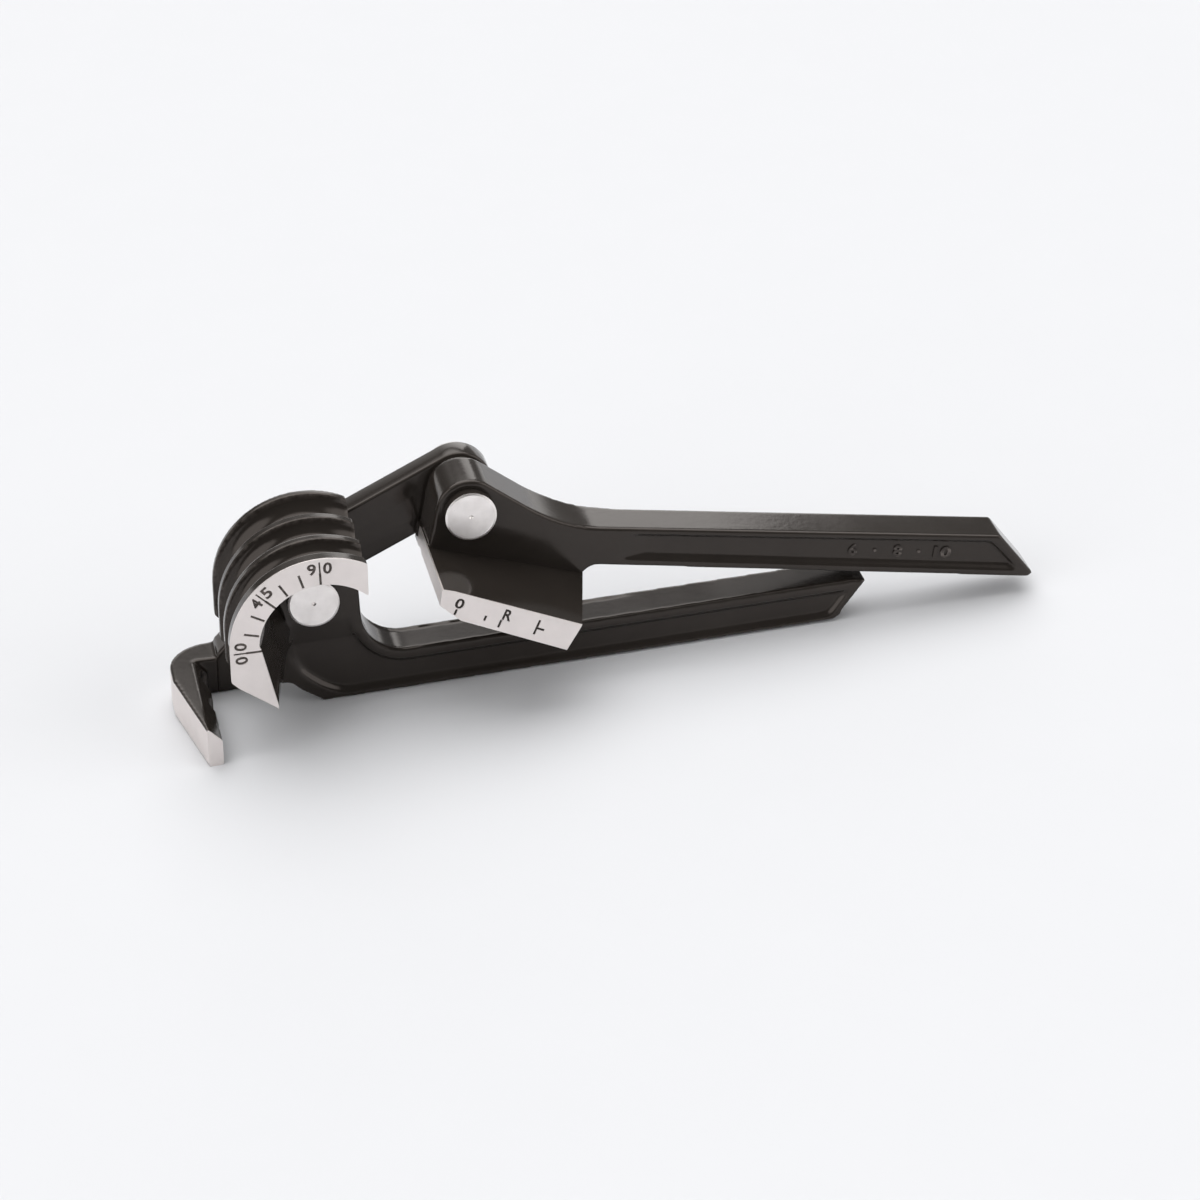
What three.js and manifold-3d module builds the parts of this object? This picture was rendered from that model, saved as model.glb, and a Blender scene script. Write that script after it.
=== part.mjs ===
import * as THREE from 'three';
import { mergeVertices } from 'three/addons/utils/BufferGeometryUtils.js';
import { ConvexGeometry } from 'three/addons/geometries/ConvexGeometry.js';
import Module from 'manifold-3d';

const wasm = await Module();
wasm.setup();

// Lever tube bender for three tube sizes, standing on its lower handle and the foot of its hook.
// Lengths are millimetres and angles are degrees. +X runs along the lower handle to its tip and
// +Z is up. The scale faces -Y. The origin is in the middle of the base.
// Each piece is drawn lying on its back, with X and Y across the scale face, Z towards it, the
// zero mark of the scale at 180 degrees and the former pivot at X = Y = 0.

// Tubes and the depth of the former, from the scale side to the link side
const smallTube = 6.35;
const middleTube = 7.94;
const largeTube = 9.53;
const grooveEase = 0.05; // radial room round a tube in its groove
const frontFlange = 3.0;
const flangeWall = 2.1;
const rearFlange = 2.1;

// Former rim: the bend centreline and the flange crests share one radius
const bendRadius = 21.15;
const rimInnerRadius = 14.6;
const rimEnd = 10; // the rim is cut off square at this distance right of the pivot
const bodyDepth = 12.8; // the web behind the rim, measured from the back
const tailStraight = 7.7; // straight flange below the zero mark
const tailCorner = 1.65;
const tailTipInset = 9.95; // flange line to the pointed end of the tail
const tailTipDrop = 15.3;

// Hook: a finger across all three tubes, on an arm behind the largest one
const hookStandoff = 2.65; // bend centreline to the face that holds the tube
const hookInner = bendRadius + hookStandoff;
const hookTop = 19.2;
const fingerTip = 3.3; // width of the finger at its front end
const fingerFlare = 5.1; // how much wider the finger is near the arm
const fingerShoulder = 15.4; // back of the arm to where the finger starts to narrow
const fingerRamp = 3; // slanted face that leads the tube in
const armThickness = 8.3;
const armCorner = 10.5;
const armRoot = 14; // pivot to where the lower edge of the arm turns up to the body
const linkRoom = 1.5; // between the arm's root and the end of the link that turns above it

// Lower handle, one casting with the former
const lowerTilt = 3;
const lowerReach = 128.6;
const lowerDrop = 17.4; // pivot to the top edge of the handle
const lowerWidth = 9.75;
const lowerDepth = 10.4;
const lowerBevel = 8.3; // how far the slanted end runs back
const bodyEdge = 10.7; // pivot to the right-hand edge of the body
const throatRadius = 10.2; // round corner between the body and the handle
const heelReach = 8.8; // pivot to the left-hand corner of the body's foot
const heelStep = 6.1; // height of that corner above the handle's bottom edge

// Link and pivots
const pivotSpan = 40.5;
const linkAngle = 26.5;
const linkThickness = 6.4;
const linkRadius = 7.8;
const linkWaist = 1.7; // the lower edge of the link is drawn in this much between its ends
const pinRadius = 4;
const pinHeadRadius = 5.85;
const pinHeadHeight = 2.5;
const pinEndLength = 0.9; // pin that stands out behind its retaining ring
const headChamfer = 0.35;
const centreDotRadius = 0.55;
const turningPlay = 0.05; // radial, pin in its bores
const endPlay = 0.15; // axial, between stacked pieces
const thrustWasherThickness = 0.6;
const rearWasherThickness = 1.2;
const washerRadius = 7;
const ringThickness = 1;
const ringDepth = 0.6; // how deep the retaining ring sits in its pin
const ringWidth = 2;
const ringMouth = 70; // open angle of the retaining ring

// Upper handle, one casting with the shoe
const upperTilt = -7.7;
const upperReach = 136.7;
const upperDrop = 3.9; // shoe pivot to the top edge of the handle
const upperWidth = 8.9;
const upperFlare = 1.2; // the handle is this much wider at its tip
const upperDepth = 10.4;
const upperBevel = 9.7;
const upperTipChamfer = 1.1;
const headRadius = 7.6; // round end of the head about its pivot
const shoulderRun = 31; // pivot to where the shoulder has run out into the handle
const shoulderSlope = 29;
const backSlopeStart = 12; // the back of the head slopes in to the handle's back
const backSlopeEnd = 37;

// Shoe: the slab that slides along the tube
const shoeTilt = -15.9; // against the handle
const shoeDrop = 17.1; // shoe pivot to the land of the shoe
const shoeThickness = 7;
const shoeLength = 27.2; // pivot to the right-hand end, along the land
const shoeSquare = 0.8; // the end leans out this much over its height
const shoeToe = 6; // pivot to the left-hand end
const shoeToeDrop = 1.4; // the toe's top corner is this much lower than the ledge
const shoeLeadIn = 2.1; // how far the toe is relieved from the land
const shoeFlare = 4.1; // how much longer the slab is where it meets the head
const shoeRise = 3.4; // and how much higher its right-hand end is there

// Recessed panels on both sides of the handles
const panelDepth = 1.1;
const panelBorder = 1.7;

const circleSegments = 48;
const grooveSegments = 20;
const rimSegments = 36;
const ringStart = 40; // the groove cutters start this far round, clear of the rim's end
const overrun = 1; // cutters reach this far past what they cut

// Heights above the surface that the pins stand on
const formerDepth = frontFlange + smallTube + flangeWall + middleTube + flangeWall + largeTube + rearFlange;
const ringBack = pinEndLength;
const rearWasherBack = ringBack + ringThickness + endPlay;
const linkBack = rearWasherBack + rearWasherThickness + endPlay;
const linkFront = linkBack + linkThickness;
const thrustWasherBack = linkFront + endPlay;
const castingBack = thrustWasherBack + thrustWasherThickness + endPlay;
const bodyFront = castingBack + bodyDepth;
const scaleFace = castingBack + formerDepth;
const headBack = bodyFront + endPlay;
const pinTop = headBack + pinHeadHeight;

const grooves = [
  { radius: smallTube / 2 + grooveEase, height: scaleFace - frontFlange - smallTube / 2 },
  {
    radius: middleTube / 2 + grooveEase,
    height: scaleFace - frontFlange - smallTube - flangeWall - middleTube / 2,
  },
  { radius: largeTube / 2 + grooveEase, height: castingBack + rearFlange + largeTube / 2 },
];

const radians = THREE.MathUtils.degToRad;

function polar(radius, degrees) {
  return [radius * Math.cos(radians(degrees)), radius * Math.sin(radians(degrees))];
}

function turned([x, y], degrees) {
  const c = Math.cos(radians(degrees));
  const s = Math.sin(radians(degrees));
  return [x * c - y * s, x * s + y * c];
}

// points of an arc about a centre, both ends included
function arc([x, y], radius, from, to, steps) {
  const points = [];
  for (let i = 0; i <= steps; i += 1) {
    const [dx, dy] = polar(radius, from + ((to - from) * i) / steps);
    points.push([x + dx, y + dy]);
  }
  return points;
}

// a curve that leaves the first point towards the corner and arrives at the last from it
function bend(first, corner, last, steps) {
  const curve = new THREE.QuadraticBezierCurve(
    new THREE.Vector2(...first),
    new THREE.Vector2(...corner),
    new THREE.Vector2(...last),
  );
  return curve.getPoints(steps).map((p) => [p.x, p.y]);
}

function toManifold(geometry) {
  geometry.deleteAttribute('normal');
  geometry.deleteAttribute('uv');
  const merged = mergeVertices(geometry);
  return new wasm.Manifold(new wasm.Mesh({
    numProp: 3,
    vertProperties: new Float32Array(merged.attributes.position.array),
    triVerts: new Uint32Array(merged.index.array),
  }));
}

function toGeometry(solid) {
  const mesh = solid.getMesh();
  const geometry = new THREE.BufferGeometry();
  geometry.setAttribute('position', new THREE.BufferAttribute(mesh.vertProperties, 3));
  geometry.setIndex(new THREE.BufferAttribute(mesh.triVerts, 1));
  geometry.computeVertexNormals();
  return geometry;
}

// an outline raised from one height to another
function prism(points, bottom, top) {
  const shape = new THREE.Shape(points.map((p) => new THREE.Vector2(...p)));
  const geometry = new THREE.ExtrudeGeometry(shape, { depth: top - bottom, bevelEnabled: false });
  geometry.translate(0, 0, bottom);
  return toManifold(geometry);
}

// the smallest convex solid round several flat outlines, each at its own height
function wedge(...layers) {
  const points = layers.flatMap(({ outline, height }) => (
    outline.map(([x, y]) => new THREE.Vector3(x, y, height))
  ));
  return toManifold(new ConvexGeometry(points));
}

function disc(radius, bottom, top, [x, y] = [0, 0]) {
  return prism(arc([x, y], radius, 0, 360 - 360 / circleSegments, circleSegments - 1), bottom, top);
}

// a round piece about Z from its half section
function revolve(section) {
  const geometry = new THREE.LatheGeometry(section.map((p) => new THREE.Vector2(...p)), circleSegments);
  geometry.rotateX(Math.PI / 2);
  return toManifold(geometry);
}

function join(solids) {
  return solids.reduce((whole, solid) => whole.add(solid));
}

function cut(solid, cutters) {
  return cutters.reduce((rest, cutter) => rest.subtract(cutter), solid);
}

// Room for one bent tube: part of a ring above the pivot, then a straight leg down past the hook
function tubeRoom({ radius, height }) {
  const stations = [];
  for (let i = 0; i <= rimSegments; i += 1) {
    const degrees = ringStart + ((180 - ringStart) * i) / rimSegments;
    stations.push({ centre: polar(bendRadius, degrees), out: polar(1, degrees) });
  }
  const legEnd = lowerDrop + lowerWidth + hookTop;
  stations.push({ centre: [-bendRadius, -legEnd], out: [-1, 0] });
  const positions = stations.flatMap(({ centre, out }) => (
    arc([0, height], radius, 0, 360 - 360 / grooveSegments, grooveSegments - 1)
      .flatMap(([along, z]) => [centre[0] + out[0] * along, centre[1] + out[1] * along, z])
  ));
  const triangles = [];
  const last = (stations.length - 1) * grooveSegments;
  for (let i = 0; i < last; i += grooveSegments) {
    for (let j = 0; j < grooveSegments; j += 1) {
      const k = (j + 1) % grooveSegments;
      const next = i + grooveSegments;
      triangles.push(i + j, next + j, i + k, next + j, next + k, i + k);
    }
  }
  for (let j = 1; j < grooveSegments - 1; j += 1) {
    triangles.push(0, j, j + 1, last, last + j + 1, last + j);
  }
  const geometry = new THREE.BufferGeometry();
  geometry.setAttribute('position', new THREE.Float32BufferAttribute(positions, 3));
  geometry.setIndex(triangles);
  return toManifold(geometry);
}

// outline of the tail from the flange to its point
const tailPoints = [
  [-bendRadius, -tailStraight],
  [-bendRadius + tailCorner, -tailStraight - tailCorner],
  [-bendRadius + tailTipInset, -tailTipDrop],
];

function rimOutline() {
  const endAngle = THREE.MathUtils.radToDeg(Math.acos(rimEnd / bendRadius));
  const innerAngle = THREE.MathUtils.radToDeg(Math.acos(rimEnd / rimInnerRadius));
  return [
    ...arc([0, 0], bendRadius, endAngle, 180, rimSegments),
    ...tailPoints,
    ...arc([0, 0], rimInnerRadius, 180, innerAngle, rimSegments),
  ];
}

// the lower-left corner of the body, where its foot slopes down to the handle
function heelPoints() {
  const bottom = -lowerDrop - lowerWidth;
  const heelShares = [[1, 1], [0.75, 0.94], [0.5, 0.57], [-0.05, 0]];
  return heelShares.map(([run, rise]) => turned([-run * heelReach, bottom + rise * heelStep], lowerTilt));
}

function bodyOutline() {
  const endAngle = THREE.MathUtils.radToDeg(Math.acos(rimEnd / bendRadius));
  const edge = [[bodyEdge, -lowerDrop - lowerWidth], [bodyEdge, 0]].map((p) => turned(p, lowerTilt));
  return [
    ...arc([0, 0], bendRadius, endAngle, 180, rimSegments),
    ...tailPoints,
    ...heelPoints(),
    ...edge,
  ];
}

// The hook is drawn from above, in X and Z, and stands across the tubes along Y
function hook() {
  const armFront = castingBack + rearFlange;
  const armBack = armFront - armThickness;
  const outerX = -hookInner - fingerTip - fingerFlare;
  const plan = [
    [-hookInner, scaleFace],
    [-hookInner - fingerTip, scaleFace],
    [outerX, armBack + fingerShoulder],
    ...arc([outerX + armCorner, armBack + armCorner], armCorner, 180, 270, 8),
    [-armRoot, armBack],
    [-armRoot, armFront],
    [-hookInner, armFront],
  ];
  const shape = new THREE.Shape(plan.map((p) => new THREE.Vector2(...p)));
  const geometry = new THREE.ExtrudeGeometry(shape, { depth: hookTop, bevelEnabled: false });
  geometry.rotateX(Math.PI / 2);
  geometry.translate(0, -hookTop, 0);
  const ramp = prism(
    [
      [-hookInner - fingerRamp - overrun, -hookTop + overrun],
      [-hookInner + overrun, -hookTop - fingerRamp - overrun],
      [-hookInner + overrun, -hookTop + overrun],
    ],
    armFront,
    scaleFace + overrun,
  );
  return toManifold(geometry).subtract(ramp);
}

// everything below the surface that the tool stands on
function belowBase() {
  const base = -lowerDrop - lowerWidth;
  const reach = hookInner + lowerReach;
  return prism(
    [[-reach, base - reach], [reach, base - reach], [reach, base], [-reach, base]]
      .map((p) => turned(p, lowerTilt)),
    castingBack - armThickness - overrun,
    scaleFace + overrun,
  );
}

// the arm's root, which passes below the link and grows out of the body's back
function hookRoot() {
  const armBack = castingBack + rearFlange - armThickness;
  const bottom = -lowerDrop - lowerWidth;
  const linkPath = -linkRadius - linkRoom;
  const rootShares = [[1.5, 1], [1, 1], [0.45, 0.77], [-0.1, 0.77], [-0.1, 0], [0.9, 0], [1.5, 0.5]];
  const outline = rootShares.map(([run, fall]) => [-run * armRoot, linkPath + fall * (bottom - linkPath)]);
  return prism(outline, armBack, castingBack + rearFlange);
}

function lowerHandleOutline() {
  const top = -lowerDrop;
  const bevelShares = [[1, 1], [0.82, 0.91], [0.76, 0.78], [0.57, 0.59], [0, 0]];
  return [
    ...arc([bodyEdge + throatRadius, top + throatRadius], throatRadius, 270, 180, 12),
    [0, top + throatRadius],
    [0, top - lowerWidth],
    ...bevelShares.map(([run, fall]) => [lowerReach - run * lowerBevel, top - fall * lowerWidth]),
  ].map((p) => turned(p, lowerTilt));
}

function lowerPanelOutline() {
  const top = -lowerDrop;
  const bottom = top - lowerWidth;
  const left = -heelReach + 2 * panelBorder;
  return [
    [left, bottom + heelStep - panelBorder],
    [0, bottom + panelBorder],
    [lowerReach - lowerBevel, bottom + panelBorder],
    [lowerReach - 2 * panelBorder, top - panelBorder],
    [bodyEdge + throatRadius, top - panelBorder],
    [bodyEdge, top + panelBorder],
    [left, top + panelBorder],
  ].map((p) => turned(p, lowerTilt));
}

// a panel sunk into the front and the back of a handle
function panels(outline, back, front) {
  return [
    prism(outline, back - overrun, back + panelDepth),
    prism(outline, front - panelDepth, front + overrun),
  ];
}

// the web that carries the point of the tail from the body
function gusset() {
  const tip = tailPoints.at(-1);
  return wedge(
    {
      height: scaleFace,
      outline: [[-rimInnerRadius, 0], [-rimInnerRadius - panelBorder, 0], tip],
    },
    {
      height: bodyFront,
      outline: [[-rimInnerRadius, 0], [-rimInnerRadius / 2, -tailStraight], heelPoints()[0], tip],
    },
  );
}

function formerHandle() {
  const handleBack = bodyFront - lowerDepth;
  const whole = join([
    prism(rimOutline(), castingBack, scaleFace),
    prism(bodyOutline(), castingBack, bodyFront),
    prism(lowerHandleOutline(), handleBack, bodyFront),
    gusset(),
    hook(),
    hookRoot(),
  ]);
  return cut(whole, [
    belowBase(),
    ...grooves.map(tubeRoom),
    ...panels(lowerPanelOutline(), handleBack, bodyFront),
    disc(pinRadius + turningPlay, castingBack - overrun, bodyFront + overrun),
  ]);
}

// bottom edge of the upper handle, which widens towards its tip
function upperBottom(along) {
  const share = (along - shoulderRun) / (upperReach - shoulderRun);
  return -upperDrop - upperWidth - upperFlare * share;
}

// a point of the shoe, along its land and away from the shoe pivot
function shoePoint([along, away]) {
  return turned([along, -away], shoeTilt);
}

function headOutline() {
  const tip = upperBottom(upperReach);
  const tangent = polar(headRadius, 90 - shoulderSlope);
  const cornerX = tangent[0] + (tangent[1] + upperDrop) / Math.tan(radians(shoulderSlope));
  const slopeMiddle = [(tangent[0] + cornerX) / 2, (tangent[1] - upperDrop) / 2];
  const middle = shoeDrop - shoeThickness / 2;
  const far = shoeLength + shoeFlare;
  const ledgeEnd = shoePoint([far, shoeDrop - shoeThickness]);
  const crook = ledgeEnd[0] + shoeSquare;
  return [
    [upperReach - upperTipChamfer, tip],
    [upperReach, tip + upperTipChamfer],
    [upperReach - upperBevel, -upperDrop],
    ...bend([shoulderRun, -upperDrop], [cornerX, -upperDrop], slopeMiddle, 8),
    ...arc([0, 0], headRadius, 90 - shoulderSlope, 180, 16),
    shoePoint([-shoeToe + shoeLeadIn / 2, middle]),
    shoePoint([far, middle]),
    ...bend(ledgeEnd, [crook, upperBottom(crook)], [crook + shoeFlare, upperBottom(crook + shoeFlare)], 5),
  ];
}

// Slab of the shoe: its front end is smaller than its root at the head
function shoeSlab() {
  const ledge = shoeDrop - shoeThickness;
  const sole = [[-shoeToe + shoeLeadIn / 2, shoeDrop - shoeLeadIn], [shoeLeadIn / 2, shoeDrop]];
  const toe = [[-shoeToe + shoeLeadIn / 2, ledge], [-shoeToe, ledge + shoeToeDrop]];
  const far = shoeLength + shoeFlare;
  const tip = [...sole, [shoeLength, shoeDrop], [shoeLength + shoeSquare, ledge], ...toe];
  const root = [...sole, [far, shoeDrop], [far, ledge - shoeRise], ...toe].map(shoePoint);
  return join([
    wedge(
      { height: scaleFace, outline: tip.map(shoePoint) },
      { height: bodyFront, outline: root },
    ),
    prism(root, castingBack, bodyFront),
  ]);
}

// the shoe's share of the room for each tube
function shoeGroove({ radius, height }) {
  const length = shoeToe + shoeLength + shoeFlare + 2 * overrun;
  const geometry = new THREE.CylinderGeometry(radius, radius, length, grooveSegments);
  geometry.rotateZ(Math.PI / 2);
  geometry.translate(length / 2 - shoeToe - overrun, -(pivotSpan - bendRadius), height);
  geometry.rotateZ(radians(shoeTilt));
  return toManifold(geometry);
}

function upperPanelOutline() {
  const top = -upperDrop - panelBorder;
  const start = shoulderRun + shoeThickness;
  const end = upperReach - 2 * panelBorder;
  return [
    [shoulderRun + panelBorder, -upperDrop - upperWidth / 2],
    [start, upperBottom(start) + panelBorder],
    [end, upperBottom(end) + panelBorder],
    [upperReach - upperBevel - panelBorder / 2, top],
    [start, top],
  ];
}

// what is cut away behind the upper handle, which is thinner than the head
function backRelief(handleBack) {
  const far = upperReach + overrun;
  const layer = (start, height) => ({
    height,
    outline: [[start, -far], [far, -far], [far, far], [start, far]],
  });
  return wedge(layer(backSlopeStart, castingBack - overrun), layer(backSlopeEnd, handleBack));
}

function shoeHandle() {
  const handleBack = bodyFront - upperDepth;
  const whole = join([
    prism(headOutline(), castingBack, bodyFront).subtract(backRelief(handleBack)),
    shoeSlab(),
  ]);
  return cut(whole, [
    ...grooves.map(shoeGroove),
    ...panels(upperPanelOutline(), handleBack, bodyFront),
    disc(pinRadius + turningPlay, castingBack - overrun, bodyFront + overrun),
  ]);
}

function linkPlate() {
  const dip = THREE.MathUtils.radToDeg(Math.acos(1 - linkWaist / linkRadius));
  const outline = [
    ...arc([0, 0], linkRadius, 90, 270 + dip, circleSegments / 2),
    ...arc([pivotSpan, 0], linkRadius, -90 - dip, 90, circleSegments / 2),
  ];
  const bores = [[0, 0], [pivotSpan, 0]].map((centre) => (
    disc(pinRadius + turningPlay, linkBack - overrun, linkFront + overrun, centre)
  ));
  return cut(prism(outline, linkBack, linkFront), bores);
}

// a headed pin with a groove near its free end
function pivotPin() {
  const neck = pinRadius - ringDepth;
  return revolve([
    [0, 0],
    [pinRadius - headChamfer, 0],
    [pinRadius, headChamfer],
    [pinRadius, ringBack - endPlay],
    [neck, ringBack - endPlay],
    [neck, ringBack + ringThickness + endPlay / 2],
    [pinRadius, ringBack + ringThickness + endPlay / 2],
    [pinRadius, headBack],
    [pinHeadRadius, headBack],
    [pinHeadRadius, pinTop - headChamfer],
    [pinHeadRadius - headChamfer, pinTop],
    [centreDotRadius, pinTop],
    [0, pinTop - centreDotRadius],
  ]);
}

function washer(back, thickness) {
  return disc(washerRadius, back, back + thickness)
    .subtract(disc(pinRadius + turningPlay, back - overrun, back + thickness + overrun));
}

// an open ring that snaps into the pin's groove
function retainingRing() {
  const inner = pinRadius - ringDepth + turningPlay;
  const half = ringMouth / 2;
  const outline = [
    ...arc([0, 0], inner + ringWidth, half, 360 - half, circleSegments),
    ...arc([0, 0], inner, 360 - half, half, circleSegments),
  ];
  return prism(outline, ringBack, ringBack + ringThickness);
}

const blackPaint = { color: 0x1c1917, roughness: 0.5, metalness: 0.1 };
const turnedSteel = { color: 0xd6d2cf, roughness: 0.32, metalness: 0.9 };
const plainSteel = { color: 0x9a9794, roughness: 0.4, metalness: 0.9 };
const springSteel = { color: 0x2c2b2a, roughness: 0.45, metalness: 0.8 };

function piece(name, solid, finish) {
  const mesh = new THREE.Mesh(toGeometry(solid), new THREE.MeshStandardMaterial(finish));
  mesh.name = name;
  return mesh;
}

// what stays with one pivot of the link, from the head of the pin to its retaining ring
function pivotPieces(name) {
  const group = new THREE.Group();
  group.add(
    piece(`${name}_pin`, pivotPin(), turnedSteel),
    piece(`${name}_thrust_washer`, washer(thrustWasherBack, thrustWasherThickness), plainSteel),
    piece(`${name}_rear_washer`, washer(rearWasherBack, rearWasherThickness), plainSteel),
    piece(`${name}_retaining_ring`, retainingRing(), springSteel),
  );
  return group;
}

const link = new THREE.Group();
const shoePivot = pivotPieces('shoe');
shoePivot.position.x = pivotSpan;
link.add(piece('link_plate', linkPlate(), blackPaint), pivotPieces('former'), shoePivot);
link.rotation.z = radians(linkAngle);

const upper = piece('shoe_handle', shoeHandle(), blackPaint);
const [shoeX, shoeY] = polar(pivotSpan, linkAngle);
upper.position.set(shoeX, shoeY, 0);
upper.rotation.z = radians(upperTilt);

const flat = new THREE.Group();
flat.add(piece('former_handle', formerHandle(), blackPaint), link, upper);
flat.rotation.z = radians(-lowerTilt);

const bender = new THREE.Group();
bender.add(flat);
bender.rotation.x = Math.PI / 2;
bender.updateMatrixWorld(true);
const box = new THREE.Box3().setFromObject(bender, true);
const middle = box.getCenter(new THREE.Vector3());
bender.position.set(-middle.x, -middle.y, -box.min.z);

export default bender;
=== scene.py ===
import math

import bmesh
import bpy
from mathutils import Matrix, Vector


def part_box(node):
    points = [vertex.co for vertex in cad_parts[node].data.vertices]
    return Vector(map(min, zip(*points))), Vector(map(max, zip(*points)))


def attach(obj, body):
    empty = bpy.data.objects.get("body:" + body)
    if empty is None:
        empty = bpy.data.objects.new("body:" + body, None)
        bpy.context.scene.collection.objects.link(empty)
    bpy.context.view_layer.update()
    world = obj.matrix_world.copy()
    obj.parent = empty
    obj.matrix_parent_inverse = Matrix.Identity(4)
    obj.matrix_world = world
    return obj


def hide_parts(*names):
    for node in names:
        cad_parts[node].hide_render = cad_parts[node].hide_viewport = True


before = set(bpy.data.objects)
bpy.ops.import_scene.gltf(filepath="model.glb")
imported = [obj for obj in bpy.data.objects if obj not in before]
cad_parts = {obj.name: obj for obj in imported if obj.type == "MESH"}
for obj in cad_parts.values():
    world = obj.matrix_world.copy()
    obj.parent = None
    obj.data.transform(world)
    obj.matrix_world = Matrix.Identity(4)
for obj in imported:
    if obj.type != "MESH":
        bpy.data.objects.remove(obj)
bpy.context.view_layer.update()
scene = bpy.context.scene

scene.view_settings.view_transform = "Standard"

# The bender is drawn lying on its back in millimetres: X and Y across the scale face, Z towards it,
# the former's pivot at X = Y = 0. standUp puts a mesh where the CAD nodes are, in metres.
pinLow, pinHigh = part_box("former_pin")
pivot = (pinLow + pinHigh) / 2
lowerTilt = 3.0  # the lower handle hangs this much in the drawing and stands level in the scene
standUp = (
    Matrix.Translation((pivot.x, pinHigh.y, pivot.z))
    @ Matrix.Rotation(math.radians(lowerTilt), 4, "Y")
    @ Matrix.Rotation(math.radians(90), 4, "X")
    @ Matrix.Scale(0.001, 4)
)


def heightsOf(node):  # back and front of a node in the drawing
    low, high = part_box(node)
    return (pinHigh.y - high.y) * 1000, (pinHigh.y - low.y) * 1000


castingBack, scaleFace = heightsOf("shoe_handle")
bodyFront = castingBack + 12.8  # the handles' front faces
millStock = 1.5  # mm cast past the scale face and milled off
pinFront = heightsOf("former_pin")[1]


def polar(radius, degrees):
    return radius * math.cos(math.radians(degrees)), radius * math.sin(math.radians(degrees))


def arc(centre, radius, start, end, steps):
    spots = [polar(radius, start + (end - start) * i / steps) for i in range(steps + 1)]
    return [(centre[0] + x, centre[1] + y) for x, y in spots]


def turned(points, degrees):
    c, s = polar(1, degrees)
    return [(x * c - y * s, x * s + y * c) for x, y in points]


def bend(first, corner, last, steps):  # leaves first towards the corner and reaches last from it
    points = []
    for i in range(steps + 1):
        t = i / steps
        a, b, c = (1 - t) ** 2, 2 * t * (1 - t), t * t
        points.append(tuple(a * p + b * q + c * r for p, q, r in zip(first, corner, last)))
    return points


def rounded(points, radius, steps=5):  # every corner of an outline turned into a short curve
    outline = []
    for before, corner, after in zip(points[-1:] + points[:-1], points, points[1:] + points[:1]):
        ends = []
        for other in (before, after):
            reach = math.dist(corner, other)
            share = min(radius, 0.45 * reach) / reach
            ends.append(tuple(c + (o - c) * share for c, o in zip(corner, other)))
        outline += bend(ends[0], corner, ends[1], steps)
    return outline


def newSolid(name, bm):
    bmesh.ops.recalc_face_normals(bm, faces=bm.faces)
    mesh = bpy.data.meshes.new(name)
    bm.to_mesh(mesh)
    bm.free()
    obj = bpy.data.objects.new(name, mesh)
    scene.collection.objects.link(obj)
    return obj


def slab(points, low, high, placed=Matrix()):
    bm = bmesh.new()
    face = bm.faces.new([bm.verts.new((x, y, low)) for x, y in points])
    raised = bmesh.ops.extrude_face_region(bm, geom=[face])
    top = [v for v in raised["geom"] if isinstance(v, bmesh.types.BMVert)]
    bmesh.ops.translate(bm, verts=top, vec=(0, 0, high - low))
    bmesh.ops.transform(bm, matrix=placed, verts=bm.verts)
    return newSolid("slab", bm)


def hull(*layers):  # the tightest solid round outlines at their heights
    bm = bmesh.new()
    for points, height in layers:
        for x, y in points:
            bm.verts.new((x, y, height))
    made = bmesh.ops.convex_hull(bm, input=bm.verts[:])
    loose = [v for v in made["geom_interior"] if isinstance(v, bmesh.types.BMVert)]
    bmesh.ops.delete(bm, geom=loose, context="VERTS")
    return newSolid("hull", bm)


def rod(radius, low, high, centre=(0, 0)):
    bm = bmesh.new()
    bmesh.ops.create_cone(bm, cap_ends=True, segments=64, radius1=radius, radius2=radius, depth=high - low,
                          matrix=Matrix.Translation((centre[0], centre[1], (low + high) / 2)))
    return newSolid("rod", bm)


def panel(points, face, depth, slope, towards):
    # a shallow pocket with leaning walls, cut from the front (1) or the back (-1)
    bm = bmesh.new()
    bm.faces.new([bm.verts.new((x, y, face + towards)) for x, y in points])
    raised = bmesh.ops.extrude_face_region(bm, geom=bm.faces[:])
    sunk = [f for f in raised["geom"] if isinstance(f, bmesh.types.BMFace)]
    bmesh.ops.translate(bm, verts=sunk[0].verts[:], vec=(0, 0, -towards))
    bmesh.ops.inset_region(bm, faces=sunk, thickness=slope, use_even_offset=True)
    bmesh.ops.translate(bm, verts=sunk[0].verts[:], vec=(0, 0, -towards * depth))
    return newSolid("panel", bm)


def settle(obj):  # what the modifiers make becomes the mesh
    graph = bpy.context.evaluated_depsgraph_get()
    mesh = bpy.data.meshes.new_from_object(obj.evaluated_get(graph))
    obj.modifiers.clear()
    obj.data = mesh
    return obj


def combine(obj, others, operation, keep=False):
    for other in others:
        step = obj.modifiers.new("shape", "BOOLEAN")
        step.operation = operation
        step.solver = "MANIFOLD"
        step.object = other
    settle(obj)
    for other in others:
        if not keep:
            bpy.data.objects.remove(other)
    return obj


castSkin = {
    "voxel": 0.38,  # mm
    "passes": 4, "crispPasses": 2, "strength": 0.5,  # more passes give rounder edges
    "crispFrom": 2,  # mm above the handles' faces, past which the edges stay crisper
    "webPasses": 30,  # for the slanted edges under the former's tail
    "webLow": 0.3, "webHigh": 2.2, "webLeft": -19, "webTop": -9.8,  # mm, the room that holds them
    "growth": 0.25,  # mm that soft edges take off an outline and the drawing adds
    "wearAndHighlightFrom": 30, "wearAndHighlightTo": 70,  # degrees between faces where convex edges begin to lighten and are lightest: paint wear and a painted highlight
    "wearAndHighlightReach": 1.2,  # mm, a vertex with a longer mesh edge gets no wear or painted highlight
}


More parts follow.
